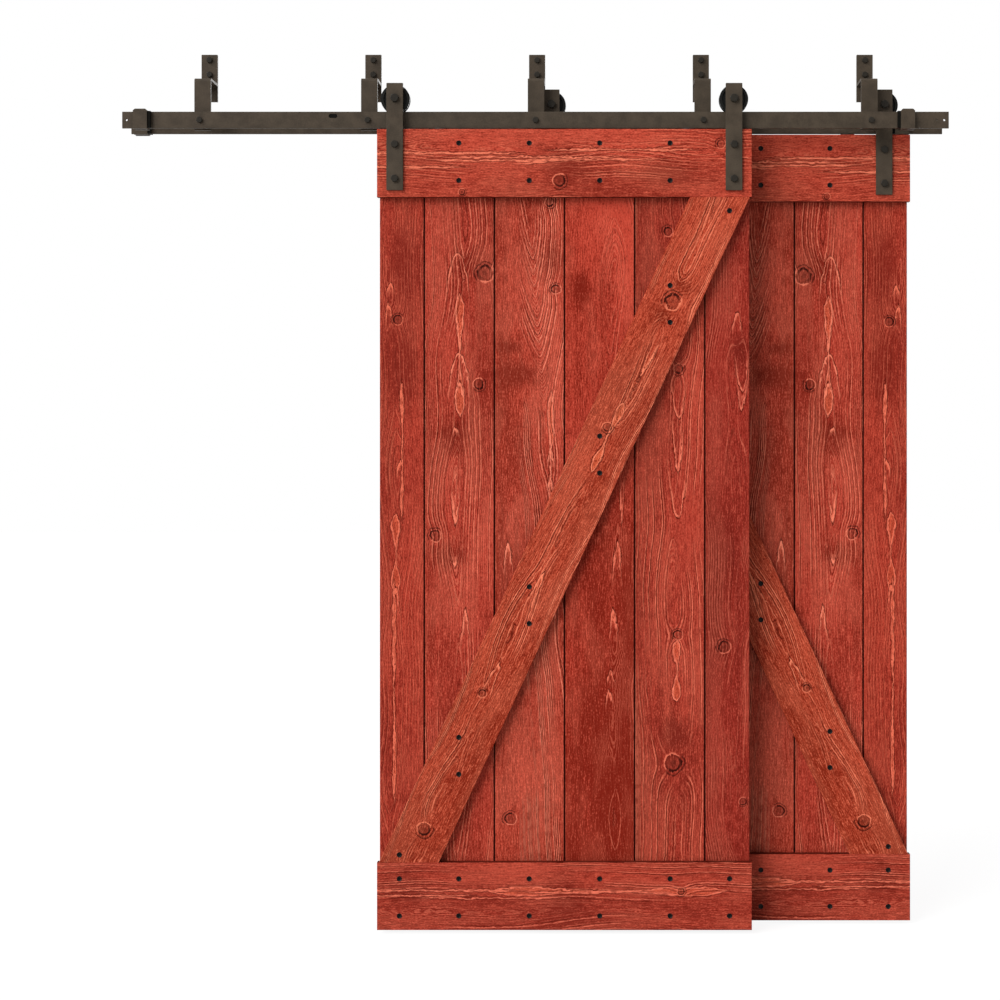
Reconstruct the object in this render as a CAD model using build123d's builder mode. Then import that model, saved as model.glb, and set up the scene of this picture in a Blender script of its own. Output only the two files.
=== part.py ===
# A sliding barn door set for one opening: two plank doors that pass each other on two flat tracks.
# Frame: +Z up, -Y towards the room. The origin is on the wall, at the middle of the tracks' length
# and at the height of the tracks' centreline. All sizes are in millimetres.
import os
from math import acos, atan, cos, hypot, radians, sqrt, tan

from build123d import *

os.makedirs("parts", exist_ok=True)

# Tracks: two flat steel bars on edge, one behind the other
track_length = 2000
track_height = 40
track_thickness = 6
track_spacing = 80
track_chamfer = 0.5
spacer_length = 25
spacer_radius = 11
slot_length = 21.5
slot_width = 10
slot_x = -490
slot_z = 9.7
plug_recess = 0.5
plug_length = 5
end_hole_radius = 2.75
end_hole_insets = (10.5, 30)

# Brackets: an upright plate on the wall, a bridge over the back track and an arm down to the front one
bracket_count = 5
bracket_end_inset = 187.2
bar_width = 40
bar_thickness = 6
plate_top = 180.6
plate_bottom = 63.7
bridge_top = 108
bend_radius = 8
weld_leg = 3
corner_radius = 1.5
plate_screw_heights = (131.2, 167.2)

# Hangers: a flat strap, and a grooved wheel on two sealed bearings
strap_width = 40
strap_thickness = 6
strap_above_axle = 36.7
strap_below_door_top = 148.3
strap_standoff = 16
strap_bolt_drops = (37.5, 120.3)
strap_chamfer = 0.6
wheel_radius = 35
wheel_width = 24
groove_radius = 29
groove_width = 8
groove_flare = 1.2
rim_rounding = 1.2
hub_radius = 18
rim_band = 28
web_recess = 3
rolling_clearance = 0.2
bearing_radius = 14
bearing_width = 8
bearing_recess = 2
bearing_land = 2.5
shield_recess = 0.4
shield_margin = 2
axle_radius = 6
axle_running_clearance = 0.04

# Doors: upright tongue-and-groove boards with a rail across each end and a brace, all on the front
door_width = 904.4
door_height = 1932.5
door_gap = 4
front_door_x = 70.3
back_hanger_shift = -21
board_thickness = 19
overlay_thickness = 19
panel_inset = 4.5
board_cover = 169.9
boards_per_door = 6
board_gap = 0.5
tongue_length = 6
tongue_thickness = 6
tongue_clearance = 0.2
v_joint = 2.5
eased_edge = 1
top_rail_height = 164.3
bottom_rail_height = 162.8
brace_width = 131
strap_inset = 43.4
top_screw_drops = (34, 124.3)
bottom_screw_rises = (34.5, 124)
outer_screw_inset = 54
brace_screw_spread = 89
brace_end_drop = 33
brace_end_rise = 19

# Small fixings
screw_radius = 2
screw_length = 32
screw_tip = 4
screw_head_radius = 4.6
screw_head_angle = 90
screw_sink = 0.2
fit_clearance = 0.15
bolt_radius = 4
bolt_flats = 13
bolt_head = 5.3
bolt_nut = 6.5
thread_past_nut = 2
bolt_hole_clearance = 0.3
plate_lag_length = 60
track_lag_length = 80
lag_tip = 9
lag_thread_radius = 3.7
lag_tip_radius = 0.4
lag_shoulder = 0.5
strap_bolt_radius = 5
strap_bolt_flats = 16
strap_bolt_head = 6.4
barrel_radius = 7
barrel_head_radius = 10
barrel_head = 3
barrel_head_chamfer = 1
barrel_short = 2
barrel_floor = 1
axle_flats = 18
axle_head = 7.5
axle_nut = 6
axle_past_nut = 1
sleeve_radius = 9
side_clearance = 0.2
disc_radius = 18
disc_thickness = 3
disc_spread = 600
head_bevel = 60
bevel_start = 0.48

# End stops: saddle blocks over the track, each with a rubber pad on the side that a wheel meets
stop_length = 34
stop_depth = 28
stop_above_track = 6
stop_below_track = 2.5
stop_rounding = 3
stop_end_chamfer = 5
seat_clearance = 0.03
set_screw_socket = 4
bumper_length = 7
bumper_set_back = 2
set_screw_radius = 4
stop_end_clearance = 0.3
front_left_stop_inset = 28.5
front_right_stop_inset = 83.5
back_left_stop_inset = 8.4
back_right_stop_inset = 83.6

# Heights and depths that follow from the sizes above
track_top = track_height / 2
back_track_y = -(spacer_length + track_thickness / 2)
front_track_y = back_track_y - track_spacing
back_track_face = back_track_y - track_thickness / 2
front_track_face = front_track_y - track_thickness / 2
arm_front = front_track_y + track_thickness / 2 + spacer_length
arm_back = arm_front + bar_thickness
axle_z = track_top + rolling_clearance + groove_radius
door_top = -track_top - door_gap
door_bottom = door_top - door_height
door_thickness = board_thickness + overlay_thickness
strap_top = axle_z + strap_above_axle
strap_bottom = door_top - strap_below_door_top
top_rail_low = door_top - top_rail_height
bottom_rail_high = door_bottom + bottom_rail_height
bolt_hole_radius = bolt_radius + bolt_hole_clearance

# Places along the wall
panel_width = door_width - 2 * panel_inset
hanger_reach = door_width / 2 - strap_inset
bracket_pitch = (track_length - 2 * bracket_end_inset) / (bracket_count - 1)
bracket_xs = [(n - (bracket_count - 1) / 2) * bracket_pitch for n in range(bracket_count)]
track_points = [(x, 0) for x in bracket_xs]
plate_points = [(x, z) for x in bracket_xs for z in plate_screw_heights]
stop_top = track_top + stop_above_track
bumper_top = stop_top - stop_end_chamfer
bumper_reach = sqrt(wheel_radius**2 - (axle_z - bumper_top) ** 2) + stop_end_clearance

# A stop's face is where a wheel meets its rubber pad. The back door rests on its right stop
stop_reach = track_length / 2 - stop_length - bumper_length
front_left_stop_face = front_left_stop_inset - stop_reach
front_right_stop_face = stop_reach - front_right_stop_inset
back_left_stop_face = back_left_stop_inset - stop_reach
back_right_stop_face = stop_reach - back_right_stop_inset
back_door_x = back_right_stop_face - bumper_reach - hanger_reach - back_hanger_shift

# Seams between a door's boards: the inner boards have their full cover, the outer ones the rest
seams = [(n - boards_per_door / 2) * board_cover for n in range(boards_per_door + 1)]
seams[0] = -panel_width / 2
seams[-1] = panel_width / 2

# The brace leans so that its level ends fill two opposite corners of the opening between the rails
opening_height = top_rail_low - bottom_rail_high
opening_middle = (top_rail_low + bottom_rail_high) / 2
brace_lean = acos(brace_width / hypot(panel_width, opening_height)) - atan(opening_height / panel_width)
brace_cut = brace_width / cos(brace_lean)

# Screws in a door's face, as (side, height): side is measured towards the brace's high end
inner_columns = [(seams[n] + seams[n + 1]) / 2 for n in range(1, boards_per_door - 1)]
outer_column = door_width / 2 - outer_screw_inset
rail_columns = [-outer_column, *inner_columns, outer_column]
top_screws = [(u, door_top - drop) for u in inner_columns for drop in top_screw_drops]
bottom_screws = [(u, door_bottom + rise) for u in rail_columns for rise in bottom_screw_rises]
brace_screws = [
    (u, opening_middle + u / tan(brace_lean) + side * brace_screw_spread / 2)
    for u in inner_columns
    for side in (-1, 1)
] + [(outer_column, top_rail_low - brace_end_drop), (-outer_column, bottom_rail_high + brace_end_rise)]


class Door:
    """A door's place: its middle, the track that it hangs on and the side that its brace rises to."""

    def __init__(self, name, x, track_y, hand, hanger_shift=0):
        self.name, self.x, self.track_y, self.hand = name, x, track_y, hand
        self.front = track_y - strap_standoff
        self.board_front = self.front + overlay_thickness
        self.back = self.front + door_thickness
        self.hangers = [x + hanger_shift + side * hanger_reach for side in (-1, 1)]
        self.axles = [(h, axle_z) for h in self.hangers]
        self.strap_bolts = [(h, door_top - drop) for h in self.hangers for drop in strap_bolt_drops]
        self.disc_points = [(x + side * disc_spread / 2, self.board_front) for side in (-1, 1)]

    def at(self, points):
        """Points on the door's face, turned from (side, height) into (X, Z)."""
        return [(self.x + self.hand * side, height) for side, height in points]


front_door = Door("front_door", front_door_x, front_track_y, 1)
back_door = Door("back_door", back_door_x, back_track_y, -1, back_hanger_shift)
doors = (front_door, back_door)


def facing_room(y):
    """The upright plane at y as seen from the room: its x is X, its y is Z and it looks along -Y."""
    return Plane(origin=(0, y, 0), x_dir=(1, 0, 0), z_dir=(0, -1, 0))


def facing_right(x):
    """The upright plane across the tracks at x: its x is Y, its y is Z and it looks along +X."""
    return Plane(origin=(x, 0, 0), x_dir=(0, 1, 0), z_dir=(1, 0, 0))


def keep(piece, name):
    """Label a finished piece and write it."""
    piece.part.label = name
    export_step(piece.part, f"parts/{name}.step")


def facing_holes(y, places):
    """The same places as locations on the plane at y, for hole features that cut towards the wall."""
    return [facing_room(y).location * Location((x, z)) for x, z in places]


def bars(places, start, length, radius, mode=Mode.ADD):
    """Round bars from the plane at y = start towards the wall."""
    with BuildSketch(facing_room(start)) as ends:
        with Locations(*places):
            Circle(radius)
    extrude(ends.sketch, amount=-length, mode=mode)


def hexagons(places, base, flats, height, side=1):
    """Hexagon heads or nuts on y = base: side 1 stands out to the room, -1 to the wall. The corners of
    the free face are turned off."""
    with BuildSketch(facing_room(base)) as hexagon:
        with Locations(*places):
            RegularPolygon(flats / 2, 6, major_radius=False)
    extrude(hexagon.sketch, amount=side * height)
    with BuildSketch(facing_room(base)) as cone:
        with Locations(*places):
            Circle(flats * bevel_start + height * tan(radians(head_bevel)))
    extrude(cone.sketch, amount=side * height, taper=head_bevel, mode=Mode.INTERSECT)


# Tracks: each has a hole at every bracket and two at each end, and the front one has a slot
end_holes = [
    (side * (track_length / 2 - inset), 0) for side in (-1, 1) for inset in end_hole_insets
]
for name, middle in (("front_track", front_track_y), ("back_track", back_track_y)):
    with BuildPart() as track:
        with BuildSketch(facing_room(middle + track_thickness / 2)):
            Rectangle(track_length, track_height)
            with Locations(*track_points):
                Circle(bolt_hole_radius, mode=Mode.SUBTRACT)
            with Locations(*end_holes):
                Circle(end_hole_radius, mode=Mode.SUBTRACT)
            if name == "front_track":
                with Locations((slot_x, slot_z)):
                    SlotOverall(slot_length, slot_width, mode=Mode.SUBTRACT)
        extrude(amount=track_thickness)
        chamfer(track.edges().filter_by(Axis.X).group_by(Edge.length)[-1], length=track_chamfer)
    keep(track, name)

# A rubber plug closes the front track's slot
with BuildPart() as slot_plug:
    with BuildSketch(facing_room(front_track_face + plug_recess + plug_length)):
        with Locations((slot_x, slot_z)):
            SlotOverall(slot_length - 2 * fit_clearance, slot_width - 2 * fit_clearance)
    extrude(amount=plug_length)
keep(slot_plug, "slot_plug")

# Spacers: tubes that hold each track off the wall or off the brackets' arms
for name, seat in (("front_track_spacers", arm_front), ("back_track_spacers", 0)):
    with BuildPart() as spacers:
        with BuildSketch(facing_room(seat)):
            with Locations(*track_points):
                Circle(spacer_radius)
                Circle(bolt_hole_radius, mode=Mode.SUBTRACT)
        extrude(amount=spacer_length)
    keep(spacers, name)

# Brackets: a bar bent at its top corner and welded to the plate, with holes for the screws and bolt
bar_low = bridge_top - bar_thickness
outer_bend = (arm_front, bridge_top)
inner_bend = (arm_back, bar_low)
weld_corners = [(-bar_thickness, bridge_top), (-bar_thickness, bar_low)]
for number, x in enumerate(bracket_xs, start=1):
    with BuildPart() as bracket:
        with BuildSketch(facing_right(x - bar_width / 2)) as section:
            with BuildLine():
                Polyline(
                    (0, plate_bottom),
                    (0, plate_top),
                    (-bar_thickness, plate_top),
                    weld_corners[0],
                    outer_bend,
                    (arm_front, -track_top),
                    (arm_back, -track_top),
                    inner_bend,
                    weld_corners[1],
                    (-bar_thickness, plate_bottom),
                    close=True,
                )
            make_face()
            fillet(section.vertices().sort_by_distance(outer_bend)[0], bend_radius)
            fillet(section.vertices().sort_by_distance(inner_bend)[0], bend_radius - bar_thickness)
            for corner in weld_corners:
                fillet(section.vertices().sort_by_distance(corner)[0], weld_leg)
        extrude(amount=bar_width)
        end_corners = bracket.edges().filter_by(Axis.Y).group_by(Axis.Z)
        fillet(end_corners[0] + end_corners[-1], corner_radius)
        with Locations(*facing_holes(-bar_thickness, [(x, z) for z in plate_screw_heights])):
            Hole(bolt_hole_radius, depth=bar_thickness)
        with Locations(*facing_holes(arm_front, [(x, 0)])):
            Hole(bolt_hole_radius, depth=bar_thickness)
    keep(bracket, f"bracket_{number}")

# Bolts through the front track, its spacers and the arms, with a nut on each
bolt_end = arm_back + bolt_nut + thread_past_nut
with BuildPart() as front_track_bolts:
    hexagons(track_points, front_track_face, bolt_flats, bolt_head)
    bars(track_points, front_track_face, bolt_end - front_track_face, bolt_radius)
keep(front_track_bolts, "front_track_bolts")

with BuildPart() as front_track_nuts:
    hexagons(track_points, arm_back, bolt_flats, bolt_nut, side=-1)
    bars(track_points, arm_back, bolt_nut, bolt_radius + fit_clearance, Mode.SUBTRACT)
keep(front_track_nuts, "front_track_nuts")

# Lag screws into the wall: short ones hold the plates, long ones the back track on its spacers
with BuildPart() as plate_heads:
    hexagons(plate_points, -bar_thickness, bolt_flats, bolt_head)
with BuildPart() as wall_lag_screws:
    hexagons(track_points, back_track_face, bolt_flats, bolt_head)
    add(plate_heads.part)
    for places, face, length in (
        (plate_points, -bar_thickness, plate_lag_length),
        (track_points, back_track_face, track_lag_length),
    ):
        thread_end = face + length - lag_tip
        bars(places, face, lag_shoulder - face, bolt_radius)
        bars(places, lag_shoulder, thread_end - lag_shoulder, lag_thread_radius)
        with Locations(*facing_holes(thread_end + lag_tip / 2, places)):
            Cone(lag_tip_radius, lag_thread_radius, lag_tip)
keep(wall_lag_screws, "wall_lag_screws")

# End stops, each given by its track's middle, the X that a wheel meets and the side it stands on
stops = [
    (front_track_y, front_left_stop_face, -1),
    (front_track_y, front_right_stop_face, 1),
    (back_track_y, back_left_stop_face, -1),
    (back_track_y, back_right_stop_face, 1),
]
stop_points = [
    (middle, face + side * (bumper_length + stop_length / 2)) for middle, face, side in stops
]


def saddle(middle, x, length, low, top, depth):
    """A block of this length over the track, with its middle at x, rounded along its top edges."""
    with BuildSketch(facing_right(x - length / 2)) as block:
        with Locations((middle, low)):
            Rectangle(depth, top - low, align=(Align.CENTER, Align.MIN))
        fillet(block.vertices().group_by(Axis.Y)[-1], stop_rounding)
        with Locations((middle, low)):
            Rectangle(
                track_thickness + 2 * seat_clearance,
                track_top + seat_clearance - low,
                align=(Align.CENTER, Align.MIN),
                mode=Mode.SUBTRACT,
            )
    extrude(block.sketch, amount=length)


with BuildPart() as end_stops:
    for middle, x in stop_points:
        saddle(middle, x, stop_length, -track_top - stop_below_track, stop_top, stop_depth)
    for middle, x in stop_points:
        bars([(x, 0)], middle, stop_depth, set_screw_radius + fit_clearance, Mode.SUBTRACT)
        with BuildSketch(facing_room(middle + stop_depth / 2)) as ends:
            with Locations(*[(x + side * stop_length / 2, stop_top) for side in (-1, 1)]):
                RegularPolygon(stop_end_chamfer, 4)
        extrude(ends.sketch, amount=stop_depth, mode=Mode.SUBTRACT)
keep(end_stops, "end_stops")

with BuildPart() as stop_bumpers:
    for middle, face, side in stops:
        pad_depth = stop_depth - 2 * bumper_set_back
        pad_x = face + side * bumper_length / 2
        saddle(middle, pad_x, bumper_length, -track_top, bumper_top, pad_depth)
keep(stop_bumpers, "stop_bumpers")

# Set screws press on the track's back face, from the cheek of the stop that the room doesn't see
set_screw_length = (stop_depth - track_thickness) / 2
with BuildPart() as stop_set_screws:
    for middle, x in stop_points:
        bars([(x, 0)], middle + track_thickness / 2, set_screw_length, set_screw_radius)
    for middle, x in stop_points:
        with BuildSketch(facing_room(middle + stop_depth / 2)):
            with Locations((x, 0)):
                RegularPolygon(set_screw_socket / 2, 6, major_radius=False)
        extrude(amount=set_screw_length / 2, mode=Mode.SUBTRACT)
keep(stop_set_screws, "stop_set_screws")

# One wood screw, pointing down, with its flat head at the origin
screw_head_depth = (screw_head_radius - screw_radius) / tan(radians(screw_head_angle / 2))
with BuildPart() as wood_screw:
    with BuildSketch(Plane.XZ):
        with BuildLine():
            Polyline(
                (0, 0),
                (screw_head_radius, 0),
                (screw_radius, -screw_head_depth),
                (screw_radius, screw_tip - screw_length),
                (0, -screw_length),
                close=True,
            )
        make_face()
    revolve(axis=Axis.Z)
pilot_radius = screw_radius + fit_clearance
sink_radius = screw_head_radius + screw_sink + fit_clearance
barrel_hole_radius = barrel_radius + fit_clearance


def within(points, ends, radius):
    """The points whose holes reach into the board between these ends, its tongue or its groove."""
    reach = radius + tongue_length
    return [point for point in points if ends[0] - reach < point[0] < ends[1] + reach]


for door in doors:
    screw_points = door.at(top_screws + bottom_screws + brace_screws)

    # Boards: a tongue on one edge, a groove in the other, and a V where two of them meet in front
    middle = (door.board_front + door.back) / 2
    groove_half = tongue_thickness / 2 + tongue_clearance
    for number in range(1, boards_per_door + 1):
        near, far = seams[number - 1], seams[number]
        first, last = number == 1, number == boards_per_door
        low = near if first else near + board_gap / 2
        high = far if last else far - board_gap / 2
        low_bevel = eased_edge if first else v_joint
        high_bevel = eased_edge if last else v_joint
        tongue = [] if last else [
            (high, middle - tongue_thickness / 2),
            (high + tongue_length, middle - tongue_thickness / 2),
            (high + tongue_length, middle + tongue_thickness / 2),
            (high, middle + tongue_thickness / 2),
        ]
        groove = [] if first else [
            (low, middle + groove_half),
            (low + tongue_length, middle + groove_half),
            (low + tongue_length, middle - groove_half),
            (low, middle - groove_half),
        ]
        outline = [
            (low + low_bevel, door.board_front),
            (high - high_bevel, door.board_front),
            (high, door.board_front + high_bevel),
            *tongue,
            (high, door.back),
            (low, door.back),
            *groove,
            (low, door.board_front + low_bevel),
        ]
        ends = sorted(door.x + door.hand * side for side in (near, far))
        own_screws = within(screw_points, ends, pilot_radius)
        own_bolts = within(door.strap_bolts, ends, barrel_hole_radius)
        own_discs = within(door.disc_points, ends, pilot_radius)
        with BuildPart() as board:
            with BuildSketch(Plane.XY.offset(door_bottom)):
                with BuildLine():
                    Polyline(*[(door.x + door.hand * side, y) for side, y in outline], close=True)
                make_face()
            extrude(amount=door_height)
            with Locations(*facing_holes(door.board_front, own_screws)):
                Hole(pilot_radius, depth=screw_length - overlay_thickness + screw_sink)
            if own_bolts:
                with Locations(*facing_holes(door.board_front, own_bolts)):
                    Hole(barrel_hole_radius, depth=board_thickness)
            if own_discs:
                with Locations(*[(x, y, door_top) for x, y in own_discs]):
                    Hole(pilot_radius, depth=screw_length)
        keep(board, f"{door.name}_board_{number}")

    # Rails: laid over the boards' ends, with an eased edge all round the front
    for name, low, high, screws in (
        ("top_rail", top_rail_low, door_top, top_screws),
        ("bottom_rail", door_bottom, bottom_rail_high, bottom_screws),
    ):
        with BuildPart() as rail:
            with BuildSketch(facing_room(door.board_front)):
                with Locations((door.x, (low + high) / 2)):
                    Rectangle(door_width, high - low)
            extrude(amount=overlay_thickness)
            chamfer(rail.faces().sort_by(Axis.Y)[0].edges(), length=eased_edge)
            with Locations(*facing_holes(door.front, door.at(screws))):
                CounterSinkHole(pilot_radius, sink_radius, overlay_thickness, screw_head_angle)
            if name == "top_rail":
                with Locations(*facing_holes(door.front, door.strap_bolts)):
                    Hole(barrel_hole_radius, depth=overlay_thickness)
                with Locations(*[(x, y, door_top) for x, y in door.disc_points]):
                    Hole(pilot_radius, depth=screw_length)
        keep(rail, f"{door.name}_{name}")

    # Brace: its ends are cut level, so that they lie along the rails
    half = panel_width / 2
    brace_corners = [
        (-half, bottom_rail_high),
        (brace_cut - half, bottom_rail_high),
        (half, top_rail_low),
        (half - brace_cut, top_rail_low),
    ]
    with BuildPart() as brace:
        with BuildSketch(facing_room(door.board_front)):
            with BuildLine():
                Polyline(*door.at(brace_corners), close=True)
            make_face()
        extrude(amount=overlay_thickness)
        chamfer(brace.faces().sort_by(Axis.Y)[0].edges(), length=eased_edge)
        with Locations(*facing_holes(door.front, door.at(brace_screws))):
            CounterSinkHole(pilot_radius, sink_radius, overlay_thickness, screw_head_angle)
    keep(brace, f"{door.name}_brace")

    # Discs on the top edge keep the door from jumping off its track
    disc_top = door_top + disc_thickness
    with BuildPart() as discs:
        with BuildSketch(Plane.XY.offset(door_top)):
            with Locations(*door.disc_points):
                Circle(disc_radius)
        extrude(amount=disc_thickness)
        with Locations(*[(x, y, disc_top) for x, y in door.disc_points]):
            CounterSinkHole(pilot_radius, sink_radius, disc_thickness, screw_head_angle)
    keep(discs, f"{door.name}_anti_jump_discs")

    with BuildPart() as door_screws:
        with Locations(*facing_holes(door.front + screw_sink, screw_points)):
            add(wood_screw.part)
        with Locations(*[(x, y, disc_top - screw_sink) for x, y in door.disc_points]):
            add(wood_screw.part)
    keep(door_screws, f"{door.name}_screws")

    # Hangers: the strap is bolted through the rail and a board, and the wheel turns beside its top
    strap_face = door.front - strap_thickness
    bearing_front = door.track_y - wheel_width / 2 + bearing_recess
    nut_seat = door.track_y + wheel_width / 2 - bearing_recess + side_clearance
    for side, x in zip(("left", "right"), door.hangers):
        with BuildPart() as strap:
            with BuildSketch(facing_room(door.front)):
                with Locations((x, (strap_top + strap_bottom) / 2)):
                    RectangleRounded(strap_width, strap_top - strap_bottom, corner_radius)
                with Locations((x, axle_z)):
                    Circle(axle_radius + fit_clearance, mode=Mode.SUBTRACT)
                with Locations(*[(x, door_top - drop) for drop in strap_bolt_drops]):
                    Circle(strap_bolt_radius + fit_clearance, mode=Mode.SUBTRACT)
            extrude(amount=strap_thickness)
            rim = strap.faces().sort_by(Axis.Y)[0].outer_wire().edges()
            chamfer(rim, length=strap_chamfer)
        keep(strap, f"{door.name}_{side}_strap")

        # Wheel section across the axle: x is the distance from the track's middle, y from the axle
        hub_plane = Plane(origin=(x, door.track_y, axle_z), x_dir=(0, 1, 0), z_dir=(1, 0, 0))
        axle_line = Axis((x, door.track_y, axle_z), (0, 1, 0))
        face = wheel_width / 2
        land = face - bearing_recess - bearing_width
        seat = bearing_radius + seat_clearance
        half_section = [
            (face, hub_radius),
            (face - web_recess, hub_radius + web_recess / 2),
            (face - web_recess, rim_band - web_recess / 2),
            (face, rim_band),
            (face, wheel_radius - rim_rounding),
            (face - rim_rounding, wheel_radius),
            (groove_width / 2 + groove_flare, wheel_radius),
            (groove_width / 2, groove_radius),
        ]
        with BuildPart() as wheel:
            with BuildSketch(hub_plane):
                with BuildLine():
                    Polyline(
                        (land, seat),
                        (face, seat),
                        *half_section,
                        *[(-a, r) for a, r in reversed(half_section)],
                        (-face, seat),
                        (-land, seat),
                        (-land, bearing_radius - bearing_land),
                        (land, bearing_radius - bearing_land),
                        close=True,
                    )
                make_face()
            revolve(axis=axle_line)
        keep(wheel, f"{door.name}_{side}_wheel")

        # Bearings: one at each face of the wheel, with shields that lie a little below their rings
        bore = axle_radius + axle_running_clearance
        with BuildPart() as bearings:
            with BuildSketch(hub_plane):
                with Locations((land + bearing_width / 2, (bore + bearing_radius) / 2)):
                    Rectangle(bearing_width, bearing_radius - bore)
                    with Locations((-bearing_width / 2, 0), (bearing_width / 2, 0)):
                        Rectangle(
                            2 * shield_recess,
                            bearing_radius - bore - 2 * shield_margin,
                            mode=Mode.SUBTRACT,
                        )
            revolve(axis=axle_line)
            mirror(about=Plane.XZ.offset(-door.track_y))
        keep(bearings, f"{door.name}_{side}_wheel_bearings")

    with BuildPart() as axle_bolts:
        hexagons(door.axles, strap_face, axle_flats, axle_head)
        bars(door.axles, strap_face, nut_seat + axle_nut + axle_past_nut - strap_face, axle_radius)
    keep(axle_bolts, f"{door.name}_axle_bolts")

    with BuildPart() as axle_nuts:
        hexagons(door.axles, nut_seat, axle_flats, axle_nut, side=-1)
        bars(door.axles, nut_seat, axle_nut, axle_radius + fit_clearance, Mode.SUBTRACT)
    keep(axle_nuts, f"{door.name}_axle_nuts")

    with BuildPart() as axle_sleeves:
        sleeve_length = bearing_front - side_clearance - door.front
        bars(door.axles, door.front, sleeve_length, sleeve_radius)
        bars(door.axles, door.front, sleeve_length, axle_radius + fit_clearance, Mode.SUBTRACT)
    keep(axle_sleeves, f"{door.name}_axle_sleeves")

    # Strap bolts and the flat-headed barrel nuts that take them from the door's back
    with BuildPart() as strap_bolts:
        hexagons(door.strap_bolts, strap_face, strap_bolt_flats, strap_bolt_head)
        bars(door.strap_bolts, strap_face, door.back - barrel_short - strap_face, strap_bolt_radius)
    keep(strap_bolts, f"{door.name}_strap_bolts")

    with BuildPart() as barrel_nuts:
        bars(door.strap_bolts, door.back, barrel_head, barrel_head_radius)
        chamfer(barrel_nuts.faces().group_by(Axis.Y)[-1].edges(), length=barrel_head_chamfer)
        bars(
            door.strap_bolts,
            door.front + barrel_short,
            door_thickness - barrel_short,
            barrel_radius,
        )
        bars(
            door.strap_bolts,
            door.front + barrel_short,
            door_thickness - barrel_short - barrel_floor,
            strap_bolt_radius + fit_clearance,
            Mode.SUBTRACT,
        )
    keep(barrel_nuts, f"{door.name}_barrel_nuts")
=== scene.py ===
# A bypass barn door set: two plank doors of red-stained knotty pine, hung on dark bronze flat-track
# hardware. The frame is the part's own: metres, +Z up, -Y towards the room, the wall at Y = 0.
from math import acos, atan, cos, hypot, radians, sin, tan

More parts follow.
